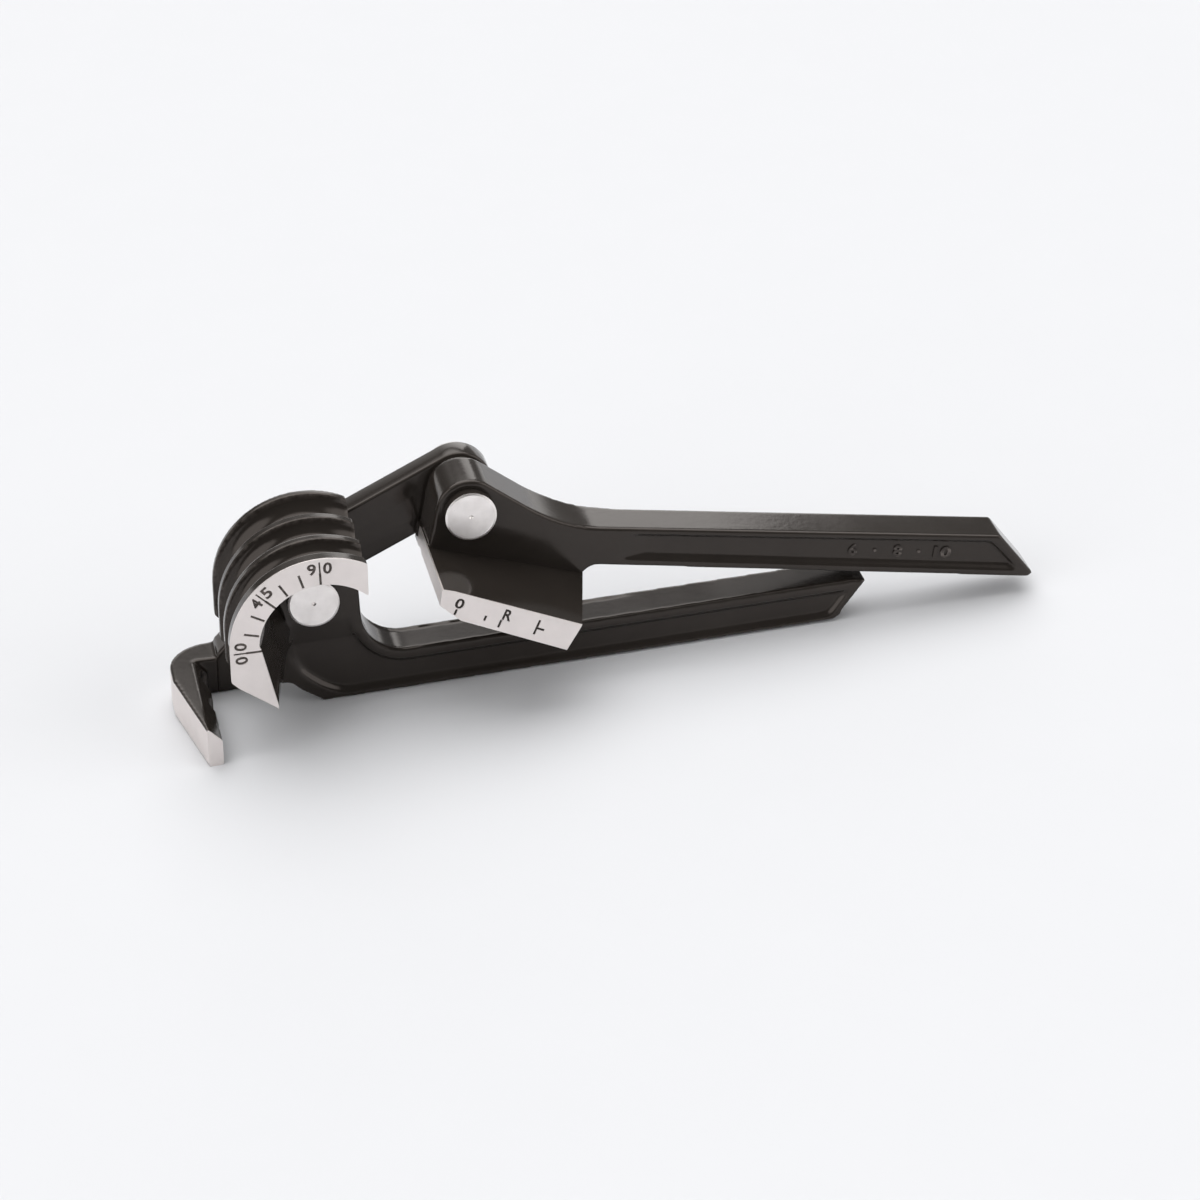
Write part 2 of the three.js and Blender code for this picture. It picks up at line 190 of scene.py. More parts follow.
def soften(bm, verts, passes):
    for turn in range(passes):
        bmesh.ops.smooth_vert(bm, verts=verts, factor=castSkin["strength"],
                              use_axis_x=True, use_axis_y=True, use_axis_z=True)


def castOver(obj):
    # one skin over the joined solids, its edges softened as sand casting leaves them
    skin = obj.modifiers.new("skin", "REMESH")
    skin.mode = "VOXEL"
    skin.voxel_size = castSkin["voxel"]
    settle(obj)
    bm = bmesh.new()
    bm.from_mesh(obj.data)
    body = [v for v in bm.verts if v.co.z < bodyFront + castSkin["crispFrom"]]
    soften(bm, bm.verts, castSkin["crispPasses"])
    soften(bm, body, castSkin["passes"] - castSkin["crispPasses"])
    low, high = bodyFront + castSkin["webLow"], scaleFace - castSkin["webHigh"]
    web = [v for v in bm.verts
           if low < v.co.z < high and v.co.x > castSkin["webLeft"] and v.co.y < castSkin["webTop"]]
    soften(bm, web, castSkin["webPasses"])
    bm.to_mesh(obj.data)
    bm.free()
    return obj


def markWearAndHighlight(bm):  # how sharply the surface turns outwards at each vertex, from 0 to 1; this lightens the paint as wear and as a painted edge highlight
    wearAndHighlight = bm.verts.layers.float.new("edgeWearAndHighlight")
    start, end = castSkin["wearAndHighlightFrom"], castSkin["wearAndHighlightTo"]
    wornAndHighlighted = {}
    for v in bm.verts:
        if all(e.calc_length() * 1000 < castSkin["wearAndHighlightReach"] for e in v.link_edges):
            turns = [math.degrees(e.calc_face_angle_signed(0)) for e in v.link_edges]
            wornAndHighlighted[v] = min(1, max(0, (max(turns, default=0) - start) / (end - start)))
    for v in wornAndHighlighted:  # evened along the edge
        near = [wornAndHighlighted.get(e.other_vert(v), 0) for e in v.link_edges]
        v[wearAndHighlight] = max(wornAndHighlighted[v], sum(near) / max(1, len(near)))


def lettering(words, size, place, low, high):  # raised or cut letters, size is width and height
    curve = bpy.data.curves.new("lettering", "FONT")
    curve.body = words
    curve.resolution_u = 3
    curve.extrude = 0.5
    curve.offset = marks["bold"]
    text = bpy.data.objects.new("lettering", curve)
    scene.collection.objects.link(text)
    graph = bpy.context.evaluated_depsgraph_get()
    mesh = bpy.data.meshes.new_from_object(text.evaluated_get(graph))
    bpy.data.objects.remove(text)
    bm = bmesh.new()
    bm.from_mesh(mesh)
    bmesh.ops.remove_doubles(bm, verts=bm.verts, dist=1e-5)
    corners = [[f(v.co[axis] for v in bm.verts) for f in (min, max)] for axis in (0, 1)]
    middle = Vector([-sum(pair) / 2 for pair in corners] + [0.5])
    bmesh.ops.translate(bm, verts=bm.verts, vec=middle)
    stretch = [wanted / (pair[1] - pair[0]) for wanted, pair in zip(size, corners)]
    bmesh.ops.scale(bm, verts=bm.verts, vec=(*stretch, high - low))
    bmesh.ops.translate(bm, verts=bm.verts, vec=(0, 0, low))
    bmesh.ops.transform(bm, matrix=place, verts=bm.verts)
    return newSolid("lettering", bm)


def peel(obj, cutter, name):
    # a skin of bare metal: what the cutter holds becomes a piece of its own
    skin = obj.copy()
    skin.data = obj.data.copy()
    skin.name = name
    scene.collection.objects.link(skin)
    combine(skin, [cutter], "INTERSECT", keep=True)
    combine(obj, [cutter], "DIFFERENCE")
    return skin


def finish(obj, name, body, material, replaced=(), smoothAngle=50):
    bm = bmesh.new()
    bm.from_mesh(obj.data)
    bmesh.ops.remove_doubles(bm, verts=bm.verts, dist=1e-4)
    bmesh.ops.transform(bm, matrix=standUp, verts=bm.verts)
    bmesh.ops.recalc_face_normals(bm, faces=bm.faces)
    markWearAndHighlight(bm)
    bm.to_mesh(obj.data)
    bm.free()
    obj.data.shade_smooth()
    obj.data.set_sharp_from_angle(angle=math.radians(smoothAngle))
    obj.data.materials.clear()
    obj.data.materials.append(material)
    obj.name = name
    obj.data.name = name
    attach(obj, body)
    if replaced:
        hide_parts(*replaced)
    return obj


def newMaterial(name):
    material = bpy.data.materials.new(name)
    material.use_nodes = True
    tree = material.node_tree
    return material, tree, tree.nodes["Principled BSDF"]


def link(tree, source, target):
    tree.links.new(source, target)


def addNoise(tree, spot, scale, detail=4.0, roughness=0.55):
    noise = tree.nodes.new("ShaderNodeTexNoise")
    noise.inputs["Scale"].default_value = scale
    noise.inputs["Detail"].default_value = detail
    noise.inputs["Roughness"].default_value = roughness
    link(tree, spot, noise.inputs["Vector"])
    return noise.outputs["Fac"]


def addRange(tree, value, fromLow, fromHigh, toLow, toHigh):
    node = tree.nodes.new("ShaderNodeMapRange")
    node.inputs["From Min"].default_value = fromLow
    node.inputs["From Max"].default_value = fromHigh
    node.inputs["To Min"].default_value = toLow
    node.inputs["To Max"].default_value = toHigh
    link(tree, value, node.inputs["Value"])
    return node.outputs["Result"]


def addMath(tree, operation, first, second):
    node = tree.nodes.new("ShaderNodeMath")
    node.operation = operation
    for socket, value in zip(node.inputs, (first, second)):
        if isinstance(value, (int, float)):
            socket.default_value = value
        else:
            link(tree, value, socket)
    return node.outputs[0]


def addMix(tree, share, first, second):
    node = tree.nodes.new("ShaderNodeMix")
    node.data_type = "RGBA"
    link(tree, share, node.inputs["Factor"])
    for socket, value in zip((node.inputs["A"], node.inputs["B"]), (first, second)):
        if isinstance(value, tuple):
            socket.default_value = (*value, 1)
        else:
            link(tree, value, socket)
    return node.outputs["Result"]


def addBump(tree, height, strength, distance, normal=None):
    node = tree.nodes.new("ShaderNodeBump")
    node.inputs["Strength"].default_value = strength
    node.inputs["Distance"].default_value = distance
    link(tree, height, node.inputs["Height"])
    if normal is not None:
        link(tree, normal, node.inputs["Normal"])
    return node.outputs["Normal"]


def objectSpot(tree, centre=(0, 0, 0), turn=(0, 0, 0), stretch=(1, 1, 1)):
    coordinate = tree.nodes.new("ShaderNodeTexCoord")
    mapping = tree.nodes.new("ShaderNodeMapping")
    mapping.vector_type = "TEXTURE"
    mapping.inputs["Location"].default_value = centre
    mapping.inputs["Rotation"].default_value = turn
    mapping.inputs["Scale"].default_value = stretch
    link(tree, coordinate.outputs["Object"], mapping.inputs["Vector"])
    return mapping.outputs["Vector"]


enamel = {
    "cloudScale": 60, "fineScale": 700, "grainScale": 2600,  # noise per metre
    "colour": (0.0215, 0.0180, 0.0155),
    "dusty": (0.0265, 0.0225, 0.0195),
    # lighter paint on convex edges: wear, and a painted highlight where the edges catch the light
    "wornEdgeAndHighlight": (0.115, 0.10, 0.092),
    "roughness": (0.10, 0.155),
    "gloss": 1.43,  # index of refraction of the paint
    "glossTint": (1.0, 0.90, 0.85),
    "grain": 0.00005,  # metres, height of the cast grain under the paint
}


def makeEnamel():
    material, tree, shader = newMaterial("satinBlackEnamel")
    spot = objectSpot(tree)
    cloud = addNoise(tree, spot, enamel["cloudScale"], 5)
    fine = addNoise(tree, spot, enamel["fineScale"], 3)
    grain = addNoise(tree, spot, enamel["grainScale"], 2)
    colour = addMix(tree, addRange(tree, cloud, 0.35, 0.7, 0, 1), enamel["colour"], enamel["dusty"])
    # convex edges lightened and broken up by noise: paint wear and a painted edge highlight
    wearAndHighlight = tree.nodes.new("ShaderNodeAttribute")
    wearAndHighlight.attribute_name = "edgeWearAndHighlight"
    patchy = addRange(tree, fine, 0.36, 0.6, 0.15, 1)
    wornAndHighlighted = addMath(tree, "MULTIPLY", wearAndHighlight.outputs["Fac"], patchy)
    link(tree, addMix(tree, wornAndHighlighted, colour, enamel["wornEdgeAndHighlight"]), shader.inputs["Base Color"])
    low, high = enamel["roughness"]
    link(tree, addRange(tree, cloud, 0.3, 0.7, low, high), shader.inputs["Roughness"])
    shader.inputs["IOR"].default_value = enamel["gloss"]
    shader.inputs["Specular Tint"].default_value = (*enamel["glossTint"], 1)
    surface = addMath(tree, "ADD", fine, addMath(tree, "MULTIPLY", grain, 0.3))
    link(tree, addBump(tree, surface, 0.25, enamel["grain"]), shader.inputs["Normal"])
    return material


milled = {
    "colour": (0.82, 0.765, 0.745), "shade": (0.74, 0.69, 0.67), "roughness": (0.34, 0.46),
    "strokeScale": 5200, "strokeLength": 0.02,  # noise per metre across the strokes, and its share along them
}


def makeMilled(name, turn):
    material, tree, shader = newMaterial(name)
    spot = objectSpot(tree, turn=turn)
    strokes = objectSpot(tree, turn=turn, stretch=(milled["strokeLength"], 1, 1))
    lines = addNoise(tree, strokes, milled["strokeScale"], 2)
    cloud = addNoise(tree, spot, 120, 4)
    colour = addMix(tree, addRange(tree, cloud, 0.3, 0.7, 0, 1), milled["colour"], milled["shade"])
    link(tree, colour, shader.inputs["Base Color"])
    shader.inputs["Metallic"].default_value = 0.85
    low, high = milled["roughness"]
    link(tree, addRange(tree, lines, 0.3, 0.7, low, high), shader.inputs["Roughness"])
    link(tree, addBump(tree, lines, 0.12, 0.00003), shader.inputs["Normal"])
    return material


turnedHead = {
    "colour": (0.97, 0.93, 0.91), "shade": (0.88, 0.84, 0.82), "roughness": (0.26, 0.42),
    "ringPitch": 0.0009,  # metres between the rings that the lathe left
}


def makeTurned(name, centre):
    material, tree, shader = newMaterial(name)
    spot = objectSpot(tree, centre=centre)
    flat = tree.nodes.new("ShaderNodeVectorMath")
    flat.operation = "MULTIPLY"
    link(tree, spot, flat.inputs[0])
    flat.inputs[1].default_value = (1, 0, 1)
    radius = tree.nodes.new("ShaderNodeVectorMath")
    radius.operation = "LENGTH"
    link(tree, flat.outputs[0], radius.inputs[0])
    rings = addMath(tree, "SINE", addMath(tree, "MULTIPLY", radius.outputs["Value"],
                                          2 * math.pi / turnedHead["ringPitch"]), 0)
    cloud = addNoise(tree, spot, 300, 4)
    colour = addMix(tree, addRange(tree, cloud, 0.3, 0.7, 0, 1), turnedHead["colour"], turnedHead["shade"])
    link(tree, colour, shader.inputs["Base Color"])
    shader.inputs["Metallic"].default_value = 0.9
    low, high = turnedHead["roughness"]
    link(tree, addRange(tree, cloud, 0.3, 0.7, low, high), shader.inputs["Roughness"])
    link(tree, addBump(tree, rings, 0.12, 0.000004), shader.inputs["Normal"])
    return material


def makeSteel(name, colour, roughness):
    material, tree, shader = newMaterial(name)
    spot = objectSpot(tree)
    cloud = addNoise(tree, spot, 400, 5)
    fine = addNoise(tree, spot, 3000, 2)
    dull = tuple(c * 0.72 for c in colour)
    link(tree, addMix(tree, addRange(tree, cloud, 0.35, 0.65, 0, 1), colour, dull), shader.inputs["Base Color"])
    shader.inputs["Metallic"].default_value = 0.9
    link(tree, addRange(tree, cloud, 0.3, 0.7, roughness - 0.07, roughness + 0.12), shader.inputs["Roughness"])
    link(tree, addBump(tree, fine, 0.2, 0.00003), shader.inputs["Normal"])
    return material


blackEnamel = makeEnamel()
milledFace = makeMilled("milledFace", (0, math.radians(35), 0))
milledFlank = makeMilled("milledFlank", (0, 0, math.radians(80)))
plainSteel = makeSteel("plainWasherSteel", (0.58, 0.565, 0.55), 0.33)
springSteel = makeSteel("blackSpringSteel", (0.07, 0.068, 0.066), 0.4)
print("materials made")

tubes = {
    "sizes": (6.35, 7.94, 9.53), "ease": 0.05, "frontFlange": 3.0, "wall": 2.1, "bendRadius": 21.15, "lip": 0.16,
    "bentFrom": 40, "leg": 60,  # degrees where the bent tube begins, and mm that it runs on straight
}
grooves = []  # radius and height of each groove, smallest at the scale face
edge = scaleFace - tubes["frontFlange"]
for size in tubes["sizes"]:
    grooves.append((size / 2 + tubes["ease"], edge - size / 2))
    edge -= size + tubes["wall"]


def lipped(radius):  # a tube's section and the small chamfer that opens its groove at the land
    lip = tubes["lip"]
    circle = [polar(radius, 360 * i / 40) for i in range(40)]
    return circle, [(-lip, -radius), (lip, -radius - 2 * lip), (lip, radius + 2 * lip), (-lip, radius)]


def bentTube(section, height):  # room for a tube round the former and straight down past the hook
    bm = bmesh.new()
    start = tubes["bentFrom"]
    place = (Matrix.Rotation(math.radians(start), 4, "Z")
             @ Matrix.Translation((tubes["bendRadius"], 0, height)) @ Matrix.Rotation(math.radians(90), 4, "X"))
    ring = [bm.verts.new(place @ Vector((x, y, 0))) for x, y in section]
    for a, b in zip(ring, ring[1:] + ring[:1]):
        bm.edges.new((a, b))
    spun = bmesh.ops.spin(bm, geom=bm.verts[:] + bm.edges[:], cent=(0, 0, 0), axis=(0, 0, 1), dvec=(0, 0, 0),
                          angle=math.radians(180 - start), steps=56, use_merge=False)
    last = [e for e in spun["geom_last"] if isinstance(e, bmesh.types.BMEdge)]
    leg = bmesh.ops.extrude_edge_only(bm, edges=last)
    legEnd = [v for v in leg["geom"] if isinstance(v, bmesh.types.BMVert)]
    bmesh.ops.translate(bm, verts=legEnd, vec=(0, -tubes["leg"], 0))
    bmesh.ops.holes_fill(bm, edges=bm.edges[:], sides=0)
    return newSolid("bentTube", bm)


former = {
    "innerRadius": 14.6, "end": 10.0, "tailStraight": 7.7, "tailCorner": 1.65,
    "tailTip": (9.95, 15.3), "bodyEdge": 10.7, "boreRadius": 4.3,
    "heelReach": 8.8, "heelStep": 6.1,
    "heelCurve": ((1, 1), (0.75, 0.94), (0.5, 0.57), (-0.05, 0)),  # shares of the reach and the step
}
hook = {
    "inner": 23.8, "top": 19.2, "tip": 3.3, "flare": 5.1, "shoulder": 15.4, "ramp": 3.0,
    "armStep": 2.1, "armThickness": 8.3, "armCorner": 10.5, "armRoot": 14.0, "linkRoom": 9.3,
    # the arm's outline at its root, in shares of armRoot and of the way from the link's path to the base
    "rootCurve": ((1.5, 1), (1, 1), (0.45, 0.77), (-0.1, 0.77), (-0.1, 0), (0.9, 0), (1.5, 0.5)),
    "flankFrom": 0.55,  # mm under the hook's top where its bare flank begins
}
lowerHandle = {
    "reach": 128.6, "drop": 17.4, "width": 9.75, "depth": 10.4, "bevel": 8.3, "throatRadius": 10.2,
    "panelDepth": 1.15, "panelBorder": 1.15, "topBorder": 1.7, "panelSlope": 1.25, "panelCorner": 2.2,
    "tipGrowth": 0.9, "topGrowth": 0.6,  # mm that soft edges take off the tip and the top
    # the outline of the tip in shares of the bevel and the width, its top eased where the handles meet
    "tipCurve": ((1, 1), (0.82, 0.91), (0.76, 0.78), (0.57, 0.59), (0.05, 0.055), (0.42, 0)),
    "panelHeel": ((-6.7, -10.2), (-6.7, -13.8), (-4.3, -19.4), (0.4, -23.7)),  # under the former's pivot
    "panelEnd": 5,  # where the panel's bottom edge leaves the heel
    "panelFade": (-12.2, -6.4),  # its floor rises to the front between these heights
}
bottom = -lowerHandle["drop"] - lowerHandle["width"]
tail = [
    (-tubes["bendRadius"], -former["tailStraight"]),
    (-tubes["bendRadius"] + former["tailCorner"], -former["tailStraight"] - former["tailCorner"]),
    (-tubes["bendRadius"] + former["tailTip"][0], -former["tailTip"][1]),
]
heel = turned([(-run * former["heelReach"], bottom + rise * former["heelStep"])
               for run, rise in former["heelCurve"]], lowerTilt)


def formerParts():
    radius, inner, end = tubes["bendRadius"], former["innerRadius"], former["end"]
    outerAngle = math.degrees(math.acos(end / radius))
    innerAngle = math.degrees(math.acos(end / inner))
    rim = arc((0, 0), radius, outerAngle, 180, 72) + tail + arc((0, 0), inner, 180, innerAngle, 64)
    side = turned([(former["bodyEdge"], bottom), (former["bodyEdge"], 0)], lowerTilt)
    body = arc((0, 0), radius, outerAngle, 180, 72) + tail + heel + side
    upperInner = polar(inner, 150)
    web = hull(
        ([(-inner, 0), (-inner - 1.7, 0), tail[-1]], scaleFace + millStock),
        ([upperInner, (-inner * 0.66, 1.6), (-inner / 2, -former["tailStraight"]), heel[0], tail[-1], (-inner, 0)],
         bodyFront),
    )
    blend = hull(
        ([(-inner, 4), (-inner * 0.72, -4.5), tail[-1]], bodyFront + 7),
        ([(-inner + 1.5, 6), (-inner * 0.6, 2.2), (-inner * 0.36, -7.2), heel[0], tail[-1]], bodyFront),
    )
    return [
        slab(rim, castingBack, scaleFace + millStock),
        slab(body, castingBack, bodyFront),
        web, blend,
    ]


def lowerHandleParts():
    top, bevel = -lowerHandle["drop"] + lowerHandle["topGrowth"], lowerHandle["bevel"]
    reach = lowerHandle["reach"] + lowerHandle["tipGrowth"]
    radius = lowerHandle["throatRadius"]
    end = [(reach - run * bevel, top - fall * lowerHandle["width"])
           for run, fall in lowerHandle["tipCurve"]]
    bar = (arc((former["bodyEdge"] + radius, top + radius), radius, 270, 180, 24)
           + [(0, top + radius), (0, bottom)] + end)
    return [slab(turned(bar, lowerTilt), bodyFront - lowerHandle["depth"], bodyFront)]


def lowerPanels():
    border, corner, top = lowerHandle["panelBorder"], former["bodyEdge"], -lowerHandle["drop"]
    reach, bevel = lowerHandle["reach"], lowerHandle["bevel"]
    radius = lowerHandle["throatRadius"]
    outline = rounded([
        *lowerHandle["panelHeel"], (lowerHandle["panelEnd"], bottom + border),
        (reach - bevel, bottom + border), (reach - 2.6 * border, top - lowerHandle["topBorder"]),
    ], lowerHandle["panelCorner"])
    outline += arc((corner + radius, top + radius), radius + lowerHandle["topBorder"], 270, 196, 14)
    outline = turned(outline, lowerTilt)
    sizes = lowerHandle["panelDepth"], lowerHandle["panelSlope"]
    low, high = lowerHandle["panelFade"]
    rampTop = turned([(-5.6, low), (8.4, low), (8.4, high), (-5.6, high)], lowerTilt)
    rampEnd = turned([(-5.4, low), (8.0, low), (8.0, low + 0.2), (-5.4, low + 0.2)], lowerTilt)
    return [
        panel(outline, bodyFront, *sizes, 1),
        panel(outline, bodyFront - lowerHandle["depth"], *sizes, -1),
        hull((rampTop, bodyFront + 1), (rampTop, bodyFront), (rampEnd, bodyFront - lowerHandle["panelDepth"])),
    ]


def hookParts():
    armFront = castingBack + hook["armStep"]
    armBack = armFront - hook["armThickness"]
    outer = -hook["inner"] - hook["tip"] - hook["flare"]
    slant = hook["flare"] / (scaleFace - armBack - hook["shoulder"])
    plan = (
        [(-hook["inner"], scaleFace + millStock),
         (-hook["inner"] - hook["tip"] + millStock * slant, scaleFace + millStock),
         (outer, armBack + hook["shoulder"])]
        + arc((outer + hook["armCorner"], armBack + hook["armCorner"]), hook["armCorner"], 180, 270, 24)
        + [(-hook["armRoot"], armBack), (-hook["armRoot"], armFront), (-hook["inner"], armFront)]
    )
    stand = Matrix.Rotation(math.radians(90), 4, "X")
    finger = slab(plan, hook["top"], 2 * hook["top"], placed=stand)
    lead = hook["ramp"] + 1
    ramp = slab([(-hook["inner"] - lead, -hook["top"] + 1), (-hook["inner"] + 1, -hook["top"] - lead),
                 (-hook["inner"] + 1, -hook["top"] + 1)], armFront, scaleFace + 3)
    combine(finger, [ramp], "DIFFERENCE")
    path = -hook["linkRoom"]
    root = [(-run * hook["armRoot"], path + fall * (bottom - path)) for run, fall in
            hook["rootCurve"]]
    return [finger, slab(root, armBack, armFront)]


def belowBase():
    block = [(-90, bottom - 60), (160, bottom - 60), (160, bottom), (-90, bottom)]
    return slab(turned(block, lowerTilt), -10, scaleFace + 10)


def hookSkin():  # room round the hook's outer flank, a skin's depth into the metal
    armBack = castingBack + hook["armStep"] - hook["armThickness"]
    outer = -hook["inner"] - hook["tip"] - hook["flare"]
    skin = bareMetal["flankSkin"]
    plan = (
        [(-hook["inner"] - hook["tip"] + skin, scaleFace + 1), (outer + skin, armBack + hook["shoulder"])]
        + arc((outer + hook["armCorner"], armBack + hook["armCorner"]), hook["armCorner"] - skin, 180, 235, 16)
        + [(outer, armBack - 3), (outer - 5, armBack - 3), (outer - 5, scaleFace + 1)]
    )
    stand = Matrix.Rotation(math.radians(90), 4, "X")
    return slab(plan, hook["top"] + hook["flankFrom"], 2 * hook["top"], placed=stand)


bareMetal = {"skin": 0.22, "flankSkin": 0.3, "cut": 0.3}  # mm of bright metal over the paint, and of the marks
marks = {
    "ringStart": 181.7, "ringStep": 15, "short": (14.9, 18.3), "long": (14.0, 17.6), "split": (17.4, 20.3),
    "width": 0.54, "bold": 0.03, "digit": (2.0, 2.85), "digitRadius": 18.75, "digitTurn": 5.3,
    "numbers": {0: "00", 3: "45", 6: "90"},
}


def ringMarks():
    low, high = scaleFace - bareMetal["cut"], scaleFace + 1
    half = marks["width"] / 2
    tools = []
    for i in range(7):
        angle = marks["ringStart"] - i * marks["ringStep"]
        inner, outer = marks["long"] if i in marks["numbers"] else marks["short"]
        tools.append(slab(turned([(inner, -half), (outer, -half), (outer, half), (inner, half)], angle), low, high))
        if i not in marks["numbers"]:
            continue
        inner, outer = marks["split"]
        thin = half * 0.7
        tools.append(slab(turned([(inner, -thin), (outer, -thin), (outer, thin), (inner, thin)], angle), low, high))
        for digit, side in zip(marks["numbers"][i], (1, -1)):
            at = angle + side * marks["digitTurn"]
            place = (Matrix.Translation((*polar(marks["digitRadius"], at), 0))
                     @ Matrix.Rotation(math.radians(at - 90), 4, "Z"))
            tools.append(lettering(digit, marks["digit"], place, low, high))
    return tools


def pastFace(skin=0):  # all that stands past the scale face, and a skin under it
    return slab([(-150, -150), (200, -150), (200, 150), (-150, 150)], scaleFace - skin, scaleFace + 20)


parts = formerParts() + lowerHandleParts() + hookParts()
formerCasting = combine(parts[0], parts[1:], "UNION")
combine(formerCasting, [belowBase()] + lowerPanels(), "DIFFERENCE")
castOver(formerCasting)
print("former cast", len(formerCasting.data.polygons))

cutters = [pastFace()] + [bentTube(section, height) for radius, height in grooves for section in lipped(radius)]
cutters.append(rod(former["boreRadius"], castingBack - 1, bodyFront + 1))
combine(formerCasting, cutters, "DIFFERENCE")
scaleFaces = peel(formerCasting, pastFace(bareMetal["skin"]), "scaleFaces")
hookFlank = peel(formerCasting, hookSkin(), "hookFlank")
combine(scaleFaces, ringMarks(), "DIFFERENCE")
finish(formerCasting, "formerCasting", "former", blackEnamel, ["former_handle"])
finish(scaleFaces, "scaleFaces", "former", milledFace)
finish(hookFlank, "hookFlank", "former", milledFlank)
print("former finished", len(scaleFaces.data.polygons), len(hookFlank.data.polygons))

pivotSpan, linkAngle = 40.5, 26.5
upperTilt = -7.7
shoeMove = (Matrix.Translation((*polar(pivotSpan, linkAngle), 0)) @ Matrix.Rotation(math.radians(upperTilt), 4, "Z"))
upperHandle = {
    "reach": 136.7, "drop": 3.9, "width": 8.9, "flare": 1.2, "depth": 10.4, "bevel": 9.7, "tipChamfer": 1.1,
    "headRadius": 7.6, "shoulderRun": 31.0, "shoulderSlope": 29.0, "backSlope": (12.0, 37.0),
    "panelDepth": 1.15, "topBorder": 1.0, "bottomBorder": 1.6, "panelSlope": 1.35, "panelRamp": 7.0,
    "panelStart": 4.5, "panelEnd": 2.8, "panelCorner": 0.9,  # mm from the shoulder, the tip and the bevel
    "tipGrowth": 0.7,
}
shoe = {
    "tilt": -15.9, "drop": 17.1, "thickness": 7.0, "length": 27.2, "square": 0.8, "toe": 5.9, "toeDrop": 0.95,
    "leadIn": 2.1, "flare": 4.1, "rise": 3.4,
}


def upperBottom(along):
    share = (along - upperHandle["shoulderRun"]) / (upperHandle["reach"] - upperHandle["shoulderRun"])
    return -upperHandle["drop"] - upperHandle["width"] - upperHandle["flare"] * share - castSkin["growth"]


def alongShoe(points):  # points given along the land and away from the shoe's pivot
    return turned([(along, -away) for along, away in points], shoe["tilt"])


def headOutline():
    run, drop, slope = upperHandle["shoulderRun"], upperHandle["drop"], upperHandle["shoulderSlope"]
    reach, chamfer = upperHandle["reach"] + upperHandle["tipGrowth"], upperHandle["tipChamfer"]
    drop -= castSkin["growth"]
    tip = upperBottom(reach)
    touch = polar(upperHandle["headRadius"], 90 - slope)
    cornerX = touch[0] + (touch[1] + drop) / math.tan(math.radians(slope))
    middle = shoe["drop"] - shoe["thickness"] / 2
    far = shoe["length"] + shoe["flare"]
    ledge = alongShoe([(far, shoe["drop"] - shoe["thickness"])])[0]
    crook = ledge[0] + shoe["square"]
    return (
        [(reach - chamfer, tip), (reach, tip + chamfer), (reach - upperHandle["bevel"], -drop)]
        + bend((run, -drop), (cornerX, -drop), ((touch[0] + cornerX) / 2, (touch[1] - drop) / 2), 14)
        + arc((0, 0), upperHandle["headRadius"], 90 - slope, 180, 28)
        + alongShoe([(-shoe["toe"] + shoe["leadIn"] / 2, middle), (far, middle)])
        + bend(ledge, (crook, upperBottom(crook)), (crook + shoe["flare"], upperBottom(crook + shoe["flare"])), 10)
    )


def shoeParts():
    ledge = shoe["drop"] - shoe["thickness"]
    sole = [(-shoe["toe"] + shoe["leadIn"] / 2, shoe["drop"] - shoe["leadIn"]), (shoe["leadIn"] / 2, shoe["drop"])]
    toe = [(-shoe["toe"], ledge + shoe["toeDrop"])]
    far = shoe["length"] + shoe["flare"]
    tip = alongShoe(sole + [(shoe["length"], shoe["drop"]), (shoe["length"] + shoe["square"], ledge)] + toe)
    root = alongShoe(sole + [(far, shoe["drop"]), (far, ledge - shoe["rise"])] + toe)
    start, end = upperHandle["backSlope"]
    handleBack = bodyFront - upperHandle["depth"]
    relief = hull(
        ([(start, -99), (160, -99), (160, 99), (start, 99)], castingBack - 1),
        ([(end, -99), (160, -99), (160, 99), (end, 99)], handleBack),
    )
    head = combine(slab(headOutline(), castingBack, bodyFront), [relief], "DIFFERENCE")
    grow = millStock / (scaleFace - bodyFront)  # the slab keeps its slant past the scale face
    past = [(a[0] + (a[0] - b[0]) * grow, a[1] + (a[1] - b[1]) * grow) for a, b in zip(tip, root)]
    return head, [hull((past, scaleFace + millStock), (root, bodyFront)), slab(root, castingBack, bodyFront)]


def shoeGroove(radius, height):
    bm = bmesh.new()
    lie = (Matrix.Rotation(math.radians(shoe["tilt"]), 4, "Z")
           @ Matrix.Translation((15, -(pivotSpan - tubes["bendRadius"]), height))
           @ Matrix.Rotation(math.radians(90), 4, "Y"))
    bmesh.ops.create_cone(bm, cap_ends=True, segments=40, radius1=radius, radius2=radius, depth=80, matrix=lie)
    return newSolid("shoeGroove", bm)


def upperPanels():  # the floor of each panel runs out in a ramp towards the shoe
    slope, ramp = upperHandle["panelSlope"], upperHandle["panelRamp"]
    bottomBorder, top = upperHandle["bottomBorder"], -upperHandle["drop"] - upperHandle["topBorder"]
    near = upperHandle["shoulderRun"] + upperHandle["panelStart"]
    far = upperHandle["reach"] - upperHandle["panelEnd"]
    corner = upperHandle["reach"] - upperHandle["bevel"] - upperHandle["panelCorner"]
    outline = rounded([
        (near, upperBottom(near) + bottomBorder), (far, upperBottom(far) + bottomBorder),
        (corner, top), (near + 1, top),
    ], 1.0)
    near, far, corner, bottomBorder = near + ramp, far - 1.5 * slope, corner - 0.8 * slope, bottomBorder + slope
    floor = rounded([
        (near, upperBottom(near) + bottomBorder), (far, upperBottom(far) + bottomBorder),
        (corner, top - 0.55 * slope), (near, top - 0.55 * slope),
    ], 0.8)
    depth = upperHandle["panelDepth"]
    back = bodyFront - upperHandle["depth"]
    return [
        hull((outline, bodyFront + 1), (outline, bodyFront), (floor, bodyFront - depth)),
        hull((outline, back - 1), (outline, back), (floor, back + depth)),
    ]


